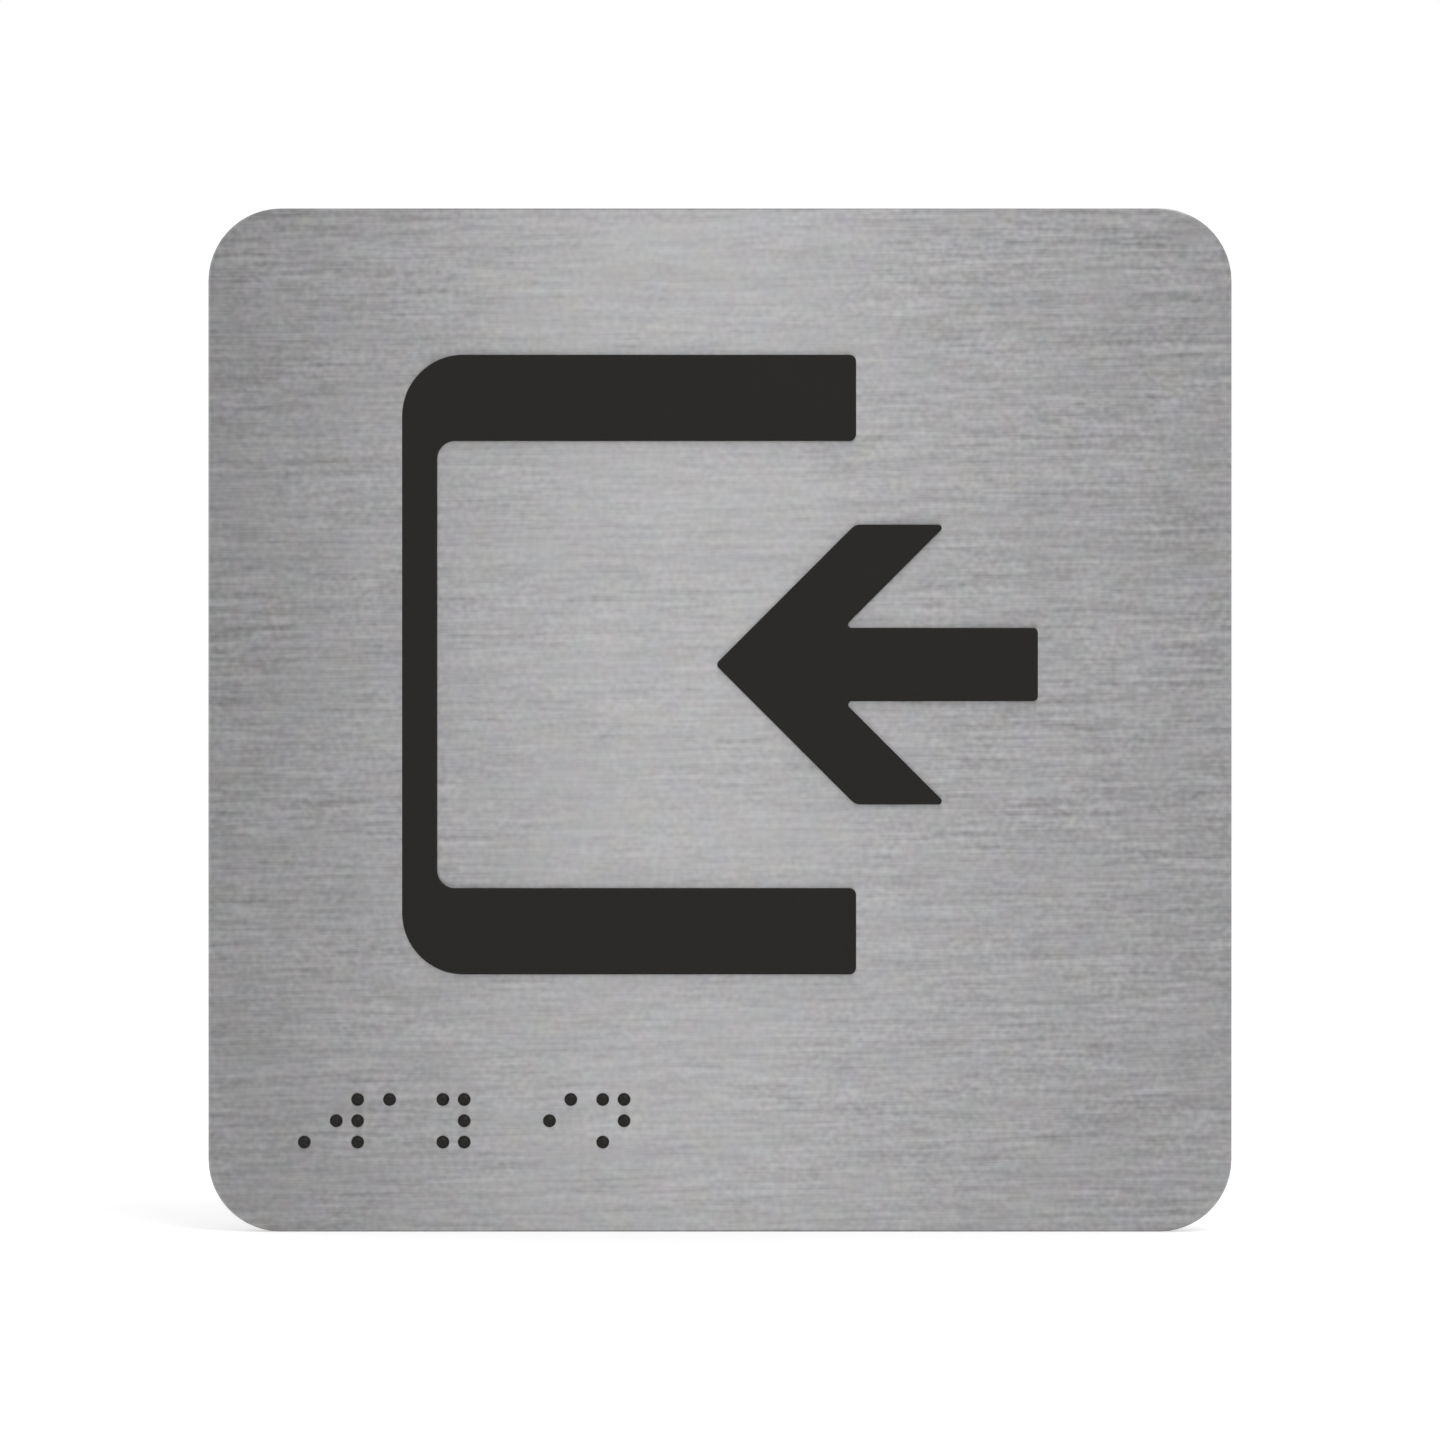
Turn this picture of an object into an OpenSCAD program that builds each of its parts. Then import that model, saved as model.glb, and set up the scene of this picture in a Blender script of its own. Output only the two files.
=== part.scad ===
// Tactile entrance sign: a brushed metal plate with a raised doorway and arrow,
// a line of braille made of beads set in drilled seats, and foam tape on the back.
// The sign hangs on a wall. Seen from the front, x runs right and z runs up.
// The wall is the plane y = 0, and the origin is the middle of the sign on it.

/* [Plate] */
// Width of the plate
plate_w = 120; // [100:1:200]
// Height of the plate
plate_h = 120; // [100:1:200]
// Thickness of the plate
plate_t = 2; // [1.5:0.1:4]
// Radius of the plate's corners
plate_corner_r = 8.5; // [3:0.5:12]
// Chamfer that breaks the plate's front and back edges
plate_edge_break = 0.2; // [0.1:0.05:0.5]

/* [Raised symbols] */
// How far the doorway and the arrow stand above the plate
symbol_t = 1; // [0.8:0.1:2]
// Chamfer along the front edges of the symbols
symbol_bevel = 0.15; // [0.05:0.05:0.2]
// Width of the two symbols together, from the doorway's stem to the arrow's end
symbols_w = 74.5; // [70:0.5:90]
// Height of the symbols' middle above the middle of the plate
symbols_up = 6.5; // [5:0.5:8]

/* [Doorway] */
// Width of the doorway, from the stem's outer side to the ends of its bars
doorway_w = 53.2; // [45:0.2:60]
// Height of the doorway
doorway_h = 72.6; // [60:0.2:78]
// Thickness of the doorway's upper and lower bars
doorway_bar_t = 10.1; // [6:0.1:12]
// Thickness of the stem that joins the bars
doorway_stem_t = 4.1; // [3:0.1:10]
// Radius of the two outer corners
doorway_outer_r = 7.2; // [1:0.1:9]
// Radius of the two inner corners
doorway_inner_r = 2.1; // [0.5:0.1:4]
// Radius of the corners at the ends of the bars
doorway_end_r = 0.8; // [0.5:0.1:2.5]

/* [Arrow] */
// Length of the arrow from its point to the end of its shaft
arrow_l = 37.8; // [32:0.2:44]
// Height of the arrow's head
arrow_head_h = 32.8; // [26:0.2:38]
// Angle between the two barbs at the point
arrow_point_angle = 90; // [80:1:110]
// Width of a barb, measured along the shaft
arrow_barb_w = 10.7; // [7:0.1:12]
// Thickness of the shaft
arrow_shaft_t = 8.6; // [5:0.1:12]
// Radius at the arrow's point
arrow_point_r = 0.55; // [0.4:0.05:1]
// Radius of the blunt outer corner of each barb
arrow_barb_r = 1.5; // [0.5:0.1:3]
// Radius of the sharp tip of each barb
arrow_barb_tip_r = 0.4; // [0.4:0.05:1]
// Radius in the notches between the barbs and the shaft
arrow_notch_r = 0.4; // [0.3:0.05:1]
// Radius of the corners at the end of the shaft
arrow_end_r = 0.6; // [0.4:0.1:2]

/* [Braille] */
// Diameter of a braille bead
bead_d = 1.5; // [1.4:0.05:1.8]
// How far a bead stands above the plate
bead_rise = 0.7; // [0.5:0.05:0.9]
// Distance between the dots of one cell
dot_pitch = 2.5; // [2:0.1:3]
// Distance from one cell to the next
cell_pitch = 6.25; // [5.2:0.05:7.5]
// From the plate's left edge to the first column of dots
braille_left = 8.75; // [7:0.25:15]
// From the plate's lower edge to the lowest row of dots
braille_bottom = 10.5; // [7:0.25:12]
// Slack between a bead and the wall of its seat, on the diameter
bead_clearance = 0.02; // [0.01:0.01:0.1]
// Angle of the drill point that leaves the bottom of a seat
drill_point_angle = 118; // [90:1:140]

/* [Foam tape] */
// Width of a strip of tape
tape_w = 19; // [12:1:25]
// Thickness of the tape
tape_t = 1; // [0.5:0.1:2]
// From the side edges of the plate to the outer strips
tape_side_margin = 8; // [4:0.5:12]
// From the upper and lower edges of the plate to the ends of the strips
tape_end_margin = 10; // [4:0.5:15]

/* [Hidden] */
metal = "#ababad";
charcoal = "#2b2a29";
foam = "#e4e3de";

// Dots of each braille cell, 1 to 3 down its left column and 4 to 6 down its right.
// They spell the two plain words "Way in", the first cell being the capital sign.
CELLS = [[6], [2, 4, 5, 6], [1], [1, 3, 4, 5, 6], [], [2, 4], [1, 3, 4, 5]];
ROWS_IN_CELL = 3;
TAPES = ["left", "centre", "right"];

function bead_name(cell, dot) = str("braille_cell", cell + 1, "_dot", dot);

$fn = 96;

// How far a cutting shape reaches past the surface that it cuts
over = 0.1;
// An arc is cut this much wider than its radius, so that it crosses the straight
// sides that it rounds off instead of only touching them
hair = 0.0005;
// How far the bevel of a concave arc turns on past both its ends, in degrees
turn_on = 5;

// The layers, as heights above the wall
plate_back = tape_t;
plate_front = plate_back + plate_t;

// The doorway's sides, and the arrow's point and notches
doorway_left = -symbols_w / 2;
doorway_right = doorway_left + doorway_w;
doorway_low = symbols_up - doorway_h / 2;
doorway_high = symbols_up + doorway_h / 2;
arrow_right = symbols_w / 2;
arrow_point_x = arrow_right - arrow_l;
barb_slope = tan(arrow_point_angle / 2);

function head_x(rise) = arrow_point_x + rise / barb_slope;

// An outline is a list of corners [x, y, radius], in anticlockwise order.
plate_outline = [
    [-plate_w / 2, -plate_h / 2, plate_corner_r],
    [plate_w / 2, -plate_h / 2, plate_corner_r],
    [plate_w / 2, plate_h / 2, plate_corner_r],
    [-plate_w / 2, plate_h / 2, plate_corner_r]
];

doorway_outline = [
    [doorway_left, doorway_low, doorway_outer_r],
    [doorway_right, doorway_low, doorway_end_r],
    [doorway_right, doorway_low + doorway_bar_t, doorway_end_r],
    [doorway_left + doorway_stem_t, doorway_low + doorway_bar_t, doorway_inner_r],
    [doorway_left + doorway_stem_t, doorway_high - doorway_bar_t, doorway_inner_r],
    [doorway_right, doorway_high - doorway_bar_t, doorway_end_r],
    [doorway_right, doorway_high, doorway_end_r],
    [doorway_left, doorway_high, doorway_outer_r]
];

// Half of the arrow, from its point along the lower side to the end of the shaft
arrow_half = [
    [head_x(arrow_head_h / 2), -arrow_head_h / 2, arrow_barb_r],
    [head_x(arrow_head_h / 2) + arrow_barb_w, -arrow_head_h / 2, arrow_barb_tip_r],
    [head_x(arrow_shaft_t / 2) + arrow_barb_w, -arrow_shaft_t / 2, arrow_notch_r],
    [arrow_right, -arrow_shaft_t / 2, arrow_end_r]
];

arrow_outline = [
    for (corner = concat(
        [[arrow_point_x, 0, arrow_point_r]],
        arrow_half,
        [for (i = [len(arrow_half) - 1 : -1 : 0]) flipped(arrow_half[i])]
    )) corner + [0, symbols_up, 0]
];

function flipped(corner) = [corner[0], -corner[1], corner[2]];

// Where the arc at corner i of an outline starts and ends, and what it turns about
function at(outline, i) = [outline[i][0], outline[i][1]];
function radius(outline, i) = outline[i][2];
function cut_radius(outline, i) = radius(outline, i) + hair;
function before(outline, i) = (i + len(outline) - 1) % len(outline);
function after(outline, i) = (i + 1) % len(outline);
function unit(v) = v / norm(v);
function towards(outline, i, j) = unit(at(outline, j) - at(outline, i));
function to_before(outline, i) = towards(outline, i, before(outline, i));
function to_after(outline, i) = towards(outline, i, after(outline, i));
function half_angle(outline, i) = acos(to_before(outline, i) * to_after(outline, i)) / 2;
function arc_length_back(outline, i) = radius(outline, i) / tan(half_angle(outline, i));
function arc_start(outline, i) =
    at(outline, i) + to_before(outline, i) * arc_length_back(outline, i);
function arc_end(outline, i) =
    at(outline, i) + to_after(outline, i) * arc_length_back(outline, i);
function arc_centre(outline, i) =
    at(outline, i) + unit(to_before(outline, i) + to_after(outline, i))
        * radius(outline, i) / sin(half_angle(outline, i));
function is_convex(outline, i) = cross(to_after(outline, i), to_before(outline, i)) > 0;

// Middle of a braille dot on the plate's front
function dot_at(cell, dot) = [
    -plate_w / 2 + braille_left + cell * cell_pitch + floor((dot - 1) / ROWS_IN_CELL) * dot_pitch,
    -plate_h / 2 + braille_bottom + (ROWS_IN_CELL - 1 - (dot - 1) % ROWS_IN_CELL) * dot_pitch
];

// What a convex arc leaves of its sharp corner, and a little beyond
module convex_scrap(outline, i) {
    centre = arc_centre(outline, i);
    reach = radius(outline, i) + over;
    difference() {
        polygon([
            centre,
            centre + unit(arc_start(outline, i) - centre) * reach,
            centre + unit(at(outline, i) - centre) * reach / sin(half_angle(outline, i)),
            centre + unit(arc_end(outline, i) - centre) * reach
        ]);
        translate(centre)
            circle(r = cut_radius(outline, i));
    }
}

// A concave corner is filled up to the middle of its arc, and the arc is cut from the filling.
function filled(outline, i) = is_convex(outline, i)
    ? [at(outline, i)]
    : [arc_start(outline, i), arc_centre(outline, i), arc_end(outline, i)];

// The outline as a flat shape, with true arcs at its corners
module rounded(outline) {
    difference() {
        polygon([for (i = [0 : len(outline) - 1]) each filled(outline, i)]);
        for (i = [0 : len(outline) - 1])
            if (is_convex(outline, i))
                convex_scrap(outline, i);
            else
                translate(arc_centre(outline, i))
                    circle(r = cut_radius(outline, i));
    }
}

// Section of what a bevel takes off an edge at the origin, whose body lies to the right
module bevel_section(bevel) {
    polygon([[-over, -bevel - over], [bevel + over, over], [-over, over]]);
}

// A straight bevel runs on past a convex arc, where all it meets is that arc's own bevel.
function run_on(outline, i) = is_convex(outline, i) ? over : 0;

// Takes the bevel off the straight edge after corner i
module straight_bevel(outline, i, bevel) {
    j = after(outline, i);
    along = towards(outline, i, j);
    start = arc_end(outline, i) - along * run_on(outline, i);
    end = arc_start(outline, j) + along * run_on(outline, j);
    translate(start)
        rotate([0, 0, atan2(along[1], along[0])])
            rotate([90, 0, 90])
                linear_extrude(height = norm(end - start))
                    bevel_section(bevel);
}

// Takes the bevel off the arc at corner i
module arc_bevel(outline, i, bevel) {
    centre = arc_centre(outline, i);
    convex = is_convex(outline, i);
    first = (convex ? arc_start(outline, i) : arc_end(outline, i)) - centre;
    more = convex ? 0 : turn_on;
    translate(centre)
        rotate([0, 0, atan2(first[1], first[0]) - more])
            rotate_extrude(angle = 180 - 2 * half_angle(outline, i) + 2 * more)
                translate([cut_radius(outline, i), 0])
                    mirror([convex ? 1 : 0, 0])
                        bevel_section(bevel);
}

// Takes the bevel off the whole edge of a slab whose face is at height 0
module edge_bevel(outline, bevel) {
    for (i = [0 : len(outline) - 1]) {
        straight_bevel(outline, i, bevel);
        arc_bevel(outline, i, bevel);
    }
}

// A slab of the outline, standing on height 0, with its front edge bevelled
module bevelled_slab(outline, thickness, bevel) {
    difference() {
        linear_extrude(height = thickness)
            rounded(outline);
        translate([0, 0, thickness])
            edge_bevel(outline, bevel);
    }
}

// Stands the layers up against the wall: heights become distances in front of it
module on_wall() {
    rotate([90, 0, 0])
        children();
}

// A drilled seat: the bead rests on the cone that the drill point leaves
module bead_seat() {
    seat_r = (bead_d + bead_clearance) / 2;
    cone_h = seat_r / tan(drill_point_angle / 2);
    point_below_middle = bead_d / 2 / sin(drill_point_angle / 2);
    seat_depth = bead_d / 2 - bead_rise + point_below_middle;
    translate([0, 0, -seat_depth]) {
        cylinder(h = cone_h, r1 = 0, r2 = seat_r);
        translate([0, 0, cone_h])
            cylinder(h = seat_depth - cone_h + over, r = seat_r);
    }
}

module plate() {
    color(metal)
        on_wall()
            translate([0, 0, plate_back])
                difference() {
                    bevelled_slab(plate_outline, plate_t, plate_edge_break);
                    mirror([0, 0, 1])
                        edge_bevel(plate_outline, plate_edge_break);
                    for (cell = [0 : len(CELLS) - 1])
                        for (dot = CELLS[cell])
                            translate(concat(dot_at(cell, dot), plate_t))
                                bead_seat();
                }
}

module raised_symbol(outline) {
    color(charcoal)
        on_wall()
            translate([0, 0, plate_front])
                bevelled_slab(outline, symbol_t, symbol_bevel);
}

module doorway_symbol() {
    raised_symbol(doorway_outline);
}

module arrow_symbol() {
    raised_symbol(arrow_outline);
}

module bead(cell, dot) {
    color(charcoal)
        on_wall()
            translate(concat(dot_at(cell, dot), plate_front + bead_rise - bead_d / 2))
                sphere(d = bead_d);
}

// A strip of foam tape, counted from the left
module tape(strip) {
    spread = (plate_w - tape_w) / 2 - tape_side_margin;
    tape_l = plate_h - 2 * tape_end_margin;
    color(foam)
        on_wall()
            translate([(strip - 1) * spread - tape_w / 2, -tape_l / 2, 0])
                cube([tape_w, tape_l, tape_t]);
}

plate();
doorway_symbol();
arrow_symbol();
for (cell = [0 : len(CELLS) - 1])
    for (dot = CELLS[cell])
        bead(cell, dot);
for (strip = [0 : len(TAPES) - 1])
    tape(strip);
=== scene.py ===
import math

import bmesh
import bpy
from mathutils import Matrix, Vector


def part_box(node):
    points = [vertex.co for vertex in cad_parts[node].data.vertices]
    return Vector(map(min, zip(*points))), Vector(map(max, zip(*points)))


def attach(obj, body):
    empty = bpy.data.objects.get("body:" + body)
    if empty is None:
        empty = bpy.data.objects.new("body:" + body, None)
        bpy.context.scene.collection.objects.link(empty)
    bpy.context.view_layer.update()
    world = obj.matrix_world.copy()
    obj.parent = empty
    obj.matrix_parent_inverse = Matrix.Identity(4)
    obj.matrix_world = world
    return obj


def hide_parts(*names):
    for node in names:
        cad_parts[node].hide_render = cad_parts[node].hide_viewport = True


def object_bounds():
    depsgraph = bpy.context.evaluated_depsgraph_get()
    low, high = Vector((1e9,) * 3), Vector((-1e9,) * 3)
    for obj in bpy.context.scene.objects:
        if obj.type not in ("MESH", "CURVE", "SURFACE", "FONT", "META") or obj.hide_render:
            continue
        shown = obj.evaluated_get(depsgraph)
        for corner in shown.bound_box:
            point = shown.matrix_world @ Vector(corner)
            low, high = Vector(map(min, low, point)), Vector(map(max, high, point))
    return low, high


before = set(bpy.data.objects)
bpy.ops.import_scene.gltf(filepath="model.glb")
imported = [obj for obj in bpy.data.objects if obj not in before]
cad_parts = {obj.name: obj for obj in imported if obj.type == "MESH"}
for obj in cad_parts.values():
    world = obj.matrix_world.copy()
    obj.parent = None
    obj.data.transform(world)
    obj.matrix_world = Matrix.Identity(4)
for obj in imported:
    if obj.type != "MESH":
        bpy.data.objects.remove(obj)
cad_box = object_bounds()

# Places and sizes, in metres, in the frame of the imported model
MM = 0.001
LOWEST, HIGHEST = cad_box
PLATE_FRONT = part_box("plate")[0].y

# Camera
LENS_MM = 200
SENSOR_MM = 36
PLATE_SHARE_OF_PICTURE = 0.7106

# World and floor, with the world's strength for scattered light and the floor's glow where it is seen
DIFFUSE_LIGHT = 0.8
FLOOR_LIFT = 0.28
FLOOR_COLOUR = (0.9, 0.9, 0.9, 1)
FLOOR_RADIUS = 3.0
FLOOR_SIDES = 96

# Black cards behind the camera, which the ends of the plate mirror
CARDS_Y = -1.0
CARD_OUTER_X = 0.6
LEFT_CARD_INNER_X = -0.073
LEFT_CARD_TOP = 0.58
RIGHT_CARD_INNER_X = 0.136
RIGHT_CARD_TOP = 1.15

# Lamps, with the point each looks at, its width and height, and its power in watts
STRIP_LIGHT = {
    "place": (-0.017, -0.98, 0.125),
    "aim": (-0.017, 0, 0.125),
    "size": (0.073, 0.35),
    "power": 0.274,
}
KEY_LIGHT = {
    "place": (0.5, -0.8, 1.1),
    "aim": (0, 0, 0),
    "size": (0.8, 0.8),
    "power": 6,
}

# Clean-up of the CAD meshes
WELD_REACH = 0.001 * MM
SHARP_FROM = math.radians(30)

# Beads
BEAD_SUBDIVISIONS = 4

# Colours, linear
METAL = (0.331, 0.3273, 0.3329)
CHARCOAL = (0.0112, 0.0102, 0.0084)
FOAM = (0.77, 0.76, 0.715)

# Brushed grain, which leans up to the right and gets deeper from left to right
GRAIN_LEAN = math.radians(0.6)
DEEPER_FROM_X = -20 * MM
DEEPEST_FROM_X = 45 * MM
GRAIN_DEPTH = 0.01 * MM

# Finish
METAL_ROUGHNESS = 0.34
METAL_ANISOTROPY = 0.95
CHARCOAL_SPECULAR = 0.2
PLASTIC_FACE_ROUGHNESS = 0.55
PLASTIC_BEVEL_ROUGHNESS = 0.36
BEAD_ROUGHNESS = 0.4
CUT_FOAM_ROUGHNESS = 0.8
FOAM_SKIN_ROUGHNESS = 0.4

# Size of the normal's Y part from which a surface starts to count as front or back, and fully does
FACE_WITH_BEVEL = (0.4, 0.6)
FLAT_FACE = (0.8, 0.95)


class Graph:
    """A node tree, with short calls for the nodes that the materials and the world share."""

    def __init__(self, tree):
        self.nodes = tree.nodes
        self.links = tree.links

    def feed(self, node, inputs):
        """Sets each input to a number or colour, or links it to another node's output."""
        for name, value in inputs.items():
            socket = node.inputs[name]
            if isinstance(value, bpy.types.NodeSocket):
                self.links.new(value, socket)
            else:
                socket.default_value = value

    def add(self, kind, inputs=None, **settings):
        """A new node, with its settings and then its inputs."""
        node = self.nodes.new("ShaderNode" + kind)
        for name, value in settings.items():
            setattr(node, name, value)
        self.feed(node, inputs or {})
        return node

    def math(self, operation, a, b=0.0, c=0.0, clamp=False):
        """One sum or product of up to three numbers."""
        inputs = {0: a, 1: b, 2: c}
        return self.add("Math", inputs, operation=operation, use_clamp=clamp).outputs[0]

    def vector_math(self, operation, a, b, c=(0, 0, 0)):
        """One sum or product of up to three vectors or colours."""
        inputs = {0: a, 1: b, 2: c}
        return self.add("VectorMath", inputs, operation=operation).outputs[0]

    def place(self):
        """Place on the object, in metres."""
        return self.add("TexCoord").outputs["Object"]

    def noise_node(self, cell, detail, shift):
        """A noise texture along the grain, whose cells measure cell = (x, y, z) metres."""
        turned = {"Vector": self.place(), "Angle": GRAIN_LEAN}
        place = self.add("VectorRotate", turned, rotation_type="Y_AXIS").outputs[0]
        place = self.vector_math("MULTIPLY", place, tuple(1 / size for size in cell))
        place = self.vector_math("ADD", place, (shift,) * 3)
        return self.add("TexNoise", {"Vector": place, "Scale": 1.0, "Detail": detail})

    def noise(self, cell, detail, shift=0.0):
        """Noise around 0, as a number. Another shift gives another pattern."""
        return self.math("SUBTRACT", self.noise_node(cell, detail, shift).outputs["Fac"], 0.5)

    def pits(self, size):
        """Height of a surface of round cells, 0 in the middle of a cell and up to about 1 on its wall."""
        return self.add("TexVoronoi", {"Vector": self.place(), "Scale": 1 / size}).outputs["Distance"]

    def normal_y(self):
        """Y part of the surface's normal, which is -1 on the front and 1 on the back."""
        return self.add("SeparateXYZ", {0: self.add("TexCoord").outputs["Normal"]}).outputs["Y"]

    def front(self, limits):
        """1 where the surface counts as front, 0 where it doesn't."""
        start, full = limits
        return self.between(self.normal_y(), -start, -full)

    def back(self, limits):
        """1 where the surface counts as back, 0 where it doesn't."""
        start, full = limits
        return self.between(self.normal_y(), start, full)

    def layers(self, start, *weighted):
        """start plus each layer times its weight."""
        total = start
        for layer, weight in weighted:
            total = self.math("MULTIPLY_ADD", layer, weight, total)
        return total

    def between(self, value, low, high):
        """0 up to low, 1 from high on and straight between them."""
        inputs = {"Value": value, "From Min": low, "From Max": high}
        return self.add("MapRange", inputs, clamp=True).outputs[0]

    def mix(self, mask, a, b):
        """The number a where the mask is 0 and b where it is 1."""
        return self.add("Mix", {0: mask, 2: a, 3: b}, data_type="FLOAT").outputs[0]

    def scaled(self, colour, factor):
        """A colour times a number."""
        inputs = {"Vector": colour, "Scale": factor}
        return self.add("VectorMath", inputs, operation="SCALE").outputs["Vector"]

    def tinted(self, colour, cell, drift):
        """A colour whose red, green and blue drift a little, in patches that measure cell metres."""
        noise = self.noise_node(cell, detail=2.0, shift=0.0).outputs["Color"]
        least = tuple(1 - share / 2 for share in drift)
        factor = self.vector_math("MULTIPLY_ADD", noise, drift, least)
        return self.vector_math("MULTIPLY", colour, factor)

    def bump(self, height, depth):
        """A normal from a height field, where 1 stands for depth metres."""
        inputs = {"Height": height, "Distance": depth, "Strength": 1.0}
        return self.add("Bump", inputs).outputs["Normal"]


def material(name):
    """A new material, its graph and its shader node."""
    made = bpy.data.materials.new(name)
    made.use_nodes = True
    return made, Graph(made.node_tree), made.node_tree.nodes["Principled BSDF"]


def give(node_name, made):
    """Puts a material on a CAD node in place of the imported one."""
    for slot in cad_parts[node_name].material_slots:
        slot.material = made


def close_slivers(node_name):
    """Closes the zero-width faces of a CAD node's mesh and keeps its sharp edges sharp."""
    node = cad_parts[node_name]
    weld = node.modifiers.new("weld", "WELD")
    weld.merge_threshold = WELD_REACH
    split = node.modifiers.new("sharp_edges", "EDGE_SPLIT")
    split.split_angle = SHARP_FROM


# Brushed metal of the plate
def brush_strokes(g):
    """The fine strokes alone, and all strokes together with their depth."""
    fine = g.noise(cell=(0.75 * MM, 4 * MM, 0.66 * MM), detail=0.5)
    middle = g.noise(cell=(2.5 * MM, 4 * MM, 0.62 * MM), detail=0.5, shift=11.0)
    long = g.noise(cell=(10 * MM, 4 * MM, 0.66 * MM), detail=1.0, shift=7.0)
    burst = g.noise(cell=(9 * MM, 9 * MM, 4 * MM), detail=1.0, shift=31.0)
    x = g.add("SeparateXYZ", {0: g.place()}).outputs["X"]
    deeper = g.between(x, DEEPER_FROM_X, DEEPEST_FROM_X)
    strokes = g.layers(0.0, (fine, 0.36), (middle, 0.2), (long, 0.46))
    depth = g.layers(0.98, (burst, 1.6), (deeper, 0.15))
    return fine, g.math("MULTIPLY", strokes, depth)


def metal_shade(g, front, strokes, hair, cloud):
    """Brightness of the brushed front, the rolled back and the cut edge."""
    brushed = g.layers(1.0, (strokes, 1.1), (hair, 0.3), (cloud, 0.08))
    streaks = g.noise(cell=(40 * MM, 4 * MM, 0.4 * MM), detail=2.0)
    rolled = g.layers(0.97, (streaks, 0.15), (cloud, 0.2))
    cutter_marks = g.noise(cell=(0.12 * MM, 3 * MM, 0.12 * MM), detail=1.0)
    cut = g.layers(0.95, (cutter_marks, 0.3))
    return g.mix(front, g.mix(g.back(FACE_WITH_BEVEL), cut, rolled), brushed)


def brushed_metal():
    made, g, shader = material("brushed_metal_look")
    front = g.front(FACE_WITH_BEVEL)
    fine, strokes = brush_strokes(g)
    hair = g.noise(cell=(7 * MM, 4 * MM, 0.08 * MM), detail=2.0, shift=17.0)
    cloud = g.noise(cell=(30 * MM, 30 * MM, 8 * MM), detail=1.0, shift=23.0)
    shade = metal_shade(g, front, strokes, hair, cloud)
    plain_rough = g.layers(METAL_ROUGHNESS, (cloud, 0.1))
    brushed_rough = g.layers(METAL_ROUGHNESS, (strokes, 0.14), (hair, 0.07))
    height = g.layers(0.0, (fine, 0.5), (hair, 0.5))
    g.feed(shader, {
        "Base Color": g.tinted(g.scaled(METAL, shade), cell=(3 * MM,) * 3, drift=(0.15, 0.07, 0.15)),
        "Roughness": g.mix(front, plain_rough, brushed_rough),
        "Normal": g.bump(height, GRAIN_DEPTH),
        "Metallic": 1.0,
        "Anisotropic": METAL_ANISOTROPY,
        "Tangent": g.add("Tangent", direction_type="RADIAL", axis="X").outputs[0],
    })
    return made


# Charcoal plastic of the raised symbols, matt on the face and shinier on the bevels
def charcoal_plastic():
    made, g, shader = material("charcoal_plastic_look")
    matt = g.noise((0.25 * MM,) * 3, detail=2.0)
    mottle = g.noise((6 * MM,) * 3, detail=2.0, shift=5.0)
    shade = g.layers(1.0, (matt, 0.25), (mottle, 0.3))
    rough = g.mix(g.front(FLAT_FACE), PLASTIC_BEVEL_ROUGHNESS, PLASTIC_FACE_ROUGHNESS)
    g.feed(shader, {
        "Base Color": g.scaled(CHARCOAL, shade),
        "Roughness": g.layers(rough, (matt, 0.15), (mottle, 0.1)),
        "Normal": g.bump(matt, 0.01 * MM),
        "Specular IOR Level": CHARCOAL_SPECULAR,
    })
    return made


# Satin plastic of the beads
def charcoal_bead():
    made, g, shader = material("charcoal_bead_look")
    grain = g.noise((0.12 * MM,) * 3, detail=1.0)
    g.feed(shader, {
        "Base Color": g.scaled(CHARCOAL, g.layers(1.0, (grain, 0.2))),
        "Roughness": g.layers(BEAD_ROUGHNESS, (grain, 0.15)),
        "Normal": g.bump(grain, 0.003 * MM),
        "Specular IOR Level": CHARCOAL_SPECULAR,
    })
    return made


# Foam of the tape, with open cells where it is cut and a smoother bonding face. Its colour has painted
# shade, darker in the hollow middle of each cell
def foam_tape():
    made, g, shader = material("foam_tape_look")
    glued = g.back(FLAT_FACE)
    pits = g.pits(0.17 * MM)
    skin = g.noise((0.6 * MM,) * 3, detail=2.0)
    mottle = g.noise((4 * MM,) * 3, detail=2.0, shift=3.0)
    # Painted shade: the colour is darker in the middle of each cell's hollow, strongly on the cut sides and
    # faintly on the bonding face; the mottle is random tone
    cut_tone_and_pit_shade = g.layers(0.75, (pits, 0.45), (mottle, 0.08))
    face_tone_and_pit_shade = g.layers(0.98, (pits, 0.04), (skin, 0.05), (mottle, 0.08))
    face_rough = g.layers(FOAM_SKIN_ROUGHNESS, (skin, 0.3), (mottle, 0.3))
    cut_height = g.math("MULTIPLY", pits, 0.08)
    face_height = g.math("MULTIPLY", skin, 0.02)
    g.feed(shader, {
        "Base Color": g.scaled(FOAM, g.mix(glued, cut_tone_and_pit_shade, face_tone_and_pit_shade)),
        "Roughness": g.mix(glued, CUT_FOAM_ROUGHNESS, face_rough),
        "Normal": g.bump(g.mix(glued, cut_height, face_height), MM),
    })
    return made


# Beads
def bead(node_name, made):
    """A fine ball in place of a bead's CAD node."""
    low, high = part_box(node_name)
    centre = (low + high) / 2
    radius = (high.y - low.y) / 2
    name = node_name + "_ball"
    mesh = bpy.data.meshes.new(name)
    shape = bmesh.new()
    bmesh.ops.create_icosphere(shape, subdivisions=BEAD_SUBDIVISIONS, radius=radius)
    bmesh.ops.translate(shape, verts=shape.verts, vec=centre)
    for face in shape.faces:
        face.smooth = True
    shape.to_mesh(mesh)
    shape.free()
    piece = bpy.data.objects.new(name, mesh)
    bpy.context.scene.collection.objects.link(piece)
    mesh.materials.append(made)
    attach(piece, "root")
    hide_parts(node_name)


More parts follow.
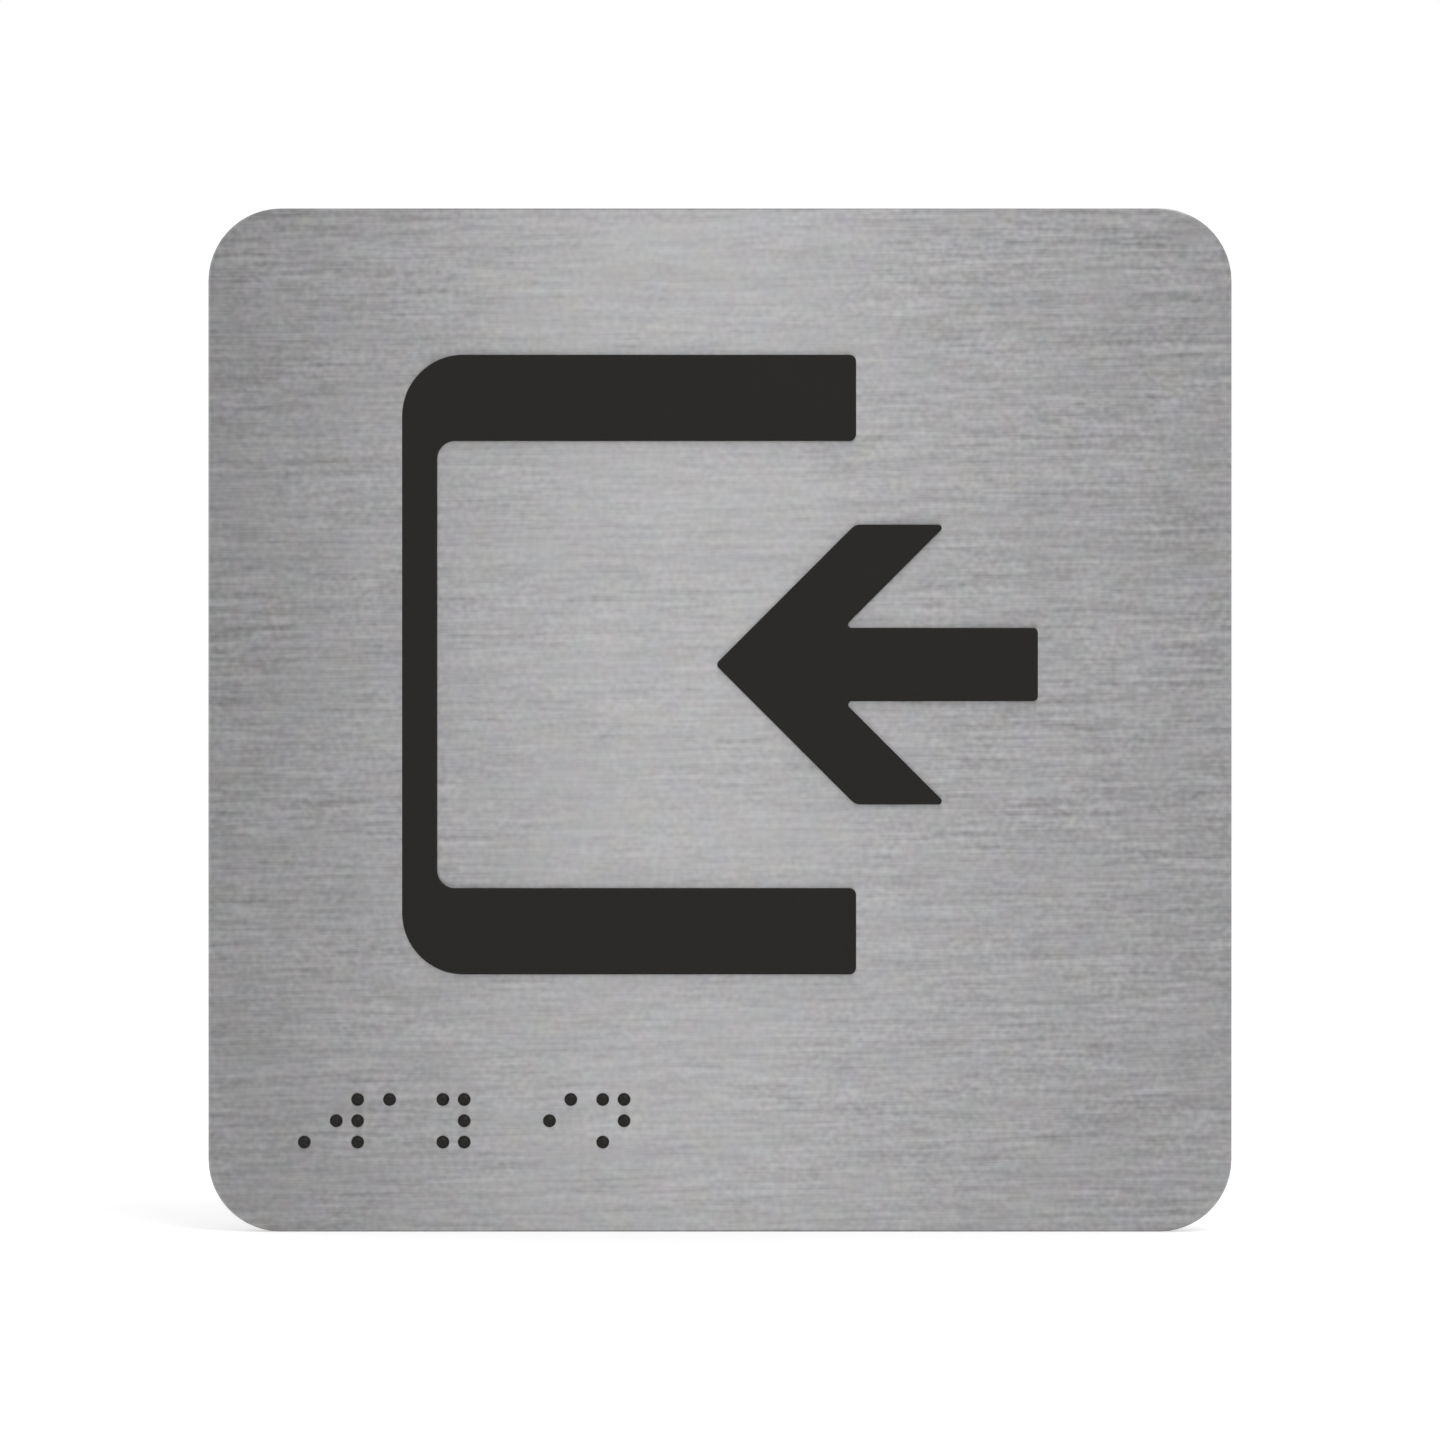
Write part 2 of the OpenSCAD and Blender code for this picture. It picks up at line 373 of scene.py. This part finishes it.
# Studio
def seen(g):
    """1 for rays from the camera and for mirrored and transmitted ones, 0 for the rest."""
    path = g.add("LightPath").outputs
    total = g.math("ADD", path["Is Camera Ray"], path["Is Glossy Ray"])
    return g.math("ADD", total, path["Is Transmission Ray"], clamp=True)


def studio_world():
    """White surroundings. They aren't sampled as a lamp, so the cards hide them from mirrored rays only."""
    world = bpy.data.worlds.new("studio")
    world.use_nodes = True
    g = Graph(world.node_tree)
    strength = g.mix(seen(g), DIFFUSE_LIGHT, 1.0)
    g.feed(world.node_tree.nodes["Background"], {"Color": (1, 1, 1, 1), "Strength": strength})
    world.cycles.sampling_method = "NONE"
    bpy.context.scene.world = world


def flat_panel(name, corners, made):
    """A flat panel with the given corners."""
    mesh = bpy.data.meshes.new(name)
    mesh.from_pydata(corners, [], [range(len(corners))])
    mesh.materials.append(made)
    panel = bpy.data.objects.new(name, mesh)
    bpy.context.scene.collection.objects.link(panel)
    return panel


def studio_floor():
    made, g, shader = material("floor_look")
    g.feed(shader, {
        "Base Color": FLOOR_COLOUR,
        "Roughness": 1.0,
        "Specular IOR Level": 0.0,
        "Emission Color": (1, 1, 1, 1),
        "Emission Strength": g.math("MULTIPLY", seen(g), FLOOR_LIFT),
    })
    turns = [math.tau * step / FLOOR_SIDES for step in range(FLOOR_SIDES)]
    corners = [(FLOOR_RADIUS * math.cos(t), FLOOR_RADIUS * math.sin(t), LOWEST.z) for t in turns]
    flat_panel("floor", corners, made)


def black_card(name, inner, outer, top):
    """A card from x = inner to x = outer that only mirrored rays meet."""
    made, g, shader = material(name + "_look")
    g.feed(shader, {"Base Color": (0, 0, 0, 1), "Specular IOR Level": 0.0})
    edges = ((inner, LOWEST.z), (outer, LOWEST.z), (outer, top), (inner, top))
    card = flat_panel(name, [(x, CARDS_Y, z) for x, z in edges], made)
    card.visible_camera = False
    card.visible_diffuse = False
    card.visible_shadow = False


def softbox(name, place, aim, size, power):
    """A rectangular lamp at place that looks at aim."""
    light = bpy.data.lights.new(name, "AREA")
    light.shape = "RECTANGLE"
    light.size, light.size_y = size
    light.energy = power
    lamp = bpy.data.objects.new(name, light)
    lamp.location = place
    lamp.rotation_euler = (Vector(aim) - Vector(place)).to_track_quat("-Z", "Y").to_euler()
    lamp.visible_camera = False
    bpy.context.scene.collection.objects.link(lamp)


def camera():
    """Straight in front of the sign, at the distance where the plate fills its share of the picture."""
    data = bpy.data.cameras.new("camera")
    data.lens = LENS_MM
    data.sensor_width = SENSOR_MM
    eye = bpy.data.objects.new("camera", data)
    picture_width = (HIGHEST.x - LOWEST.x) / PLATE_SHARE_OF_PICTURE
    eye.location = (0, PLATE_FRONT - picture_width * LENS_MM / SENSOR_MM, 0)
    eye.rotation_euler = (math.radians(90), 0, 0)
    bpy.context.scene.collection.objects.link(eye)
    bpy.context.scene.camera = eye


# Making of the scene
camera()
studio_world()
studio_floor()
black_card("black_card_left", LEFT_CARD_INNER_X, -CARD_OUTER_X, LEFT_CARD_TOP)
black_card("black_card_right", RIGHT_CARD_INNER_X, CARD_OUTER_X, RIGHT_CARD_TOP)
softbox("strip_light", **STRIP_LIGHT)
softbox("key_light", **KEY_LIGHT)

for name in ("plate", "doorway_symbol", "arrow_symbol"):
    close_slivers(name)
give("plate", brushed_metal())
plastic = charcoal_plastic()
give("doorway_symbol", plastic)
give("arrow_symbol", plastic)
foam = foam_tape()
bead_look = charcoal_bead()
for name in sorted(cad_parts):
    if name.startswith("tape_"):
        give(name, foam)
    if name.startswith("braille_"):
        bead(name, bead_look)

bpy.context.scene.view_settings.view_transform = "Standard"
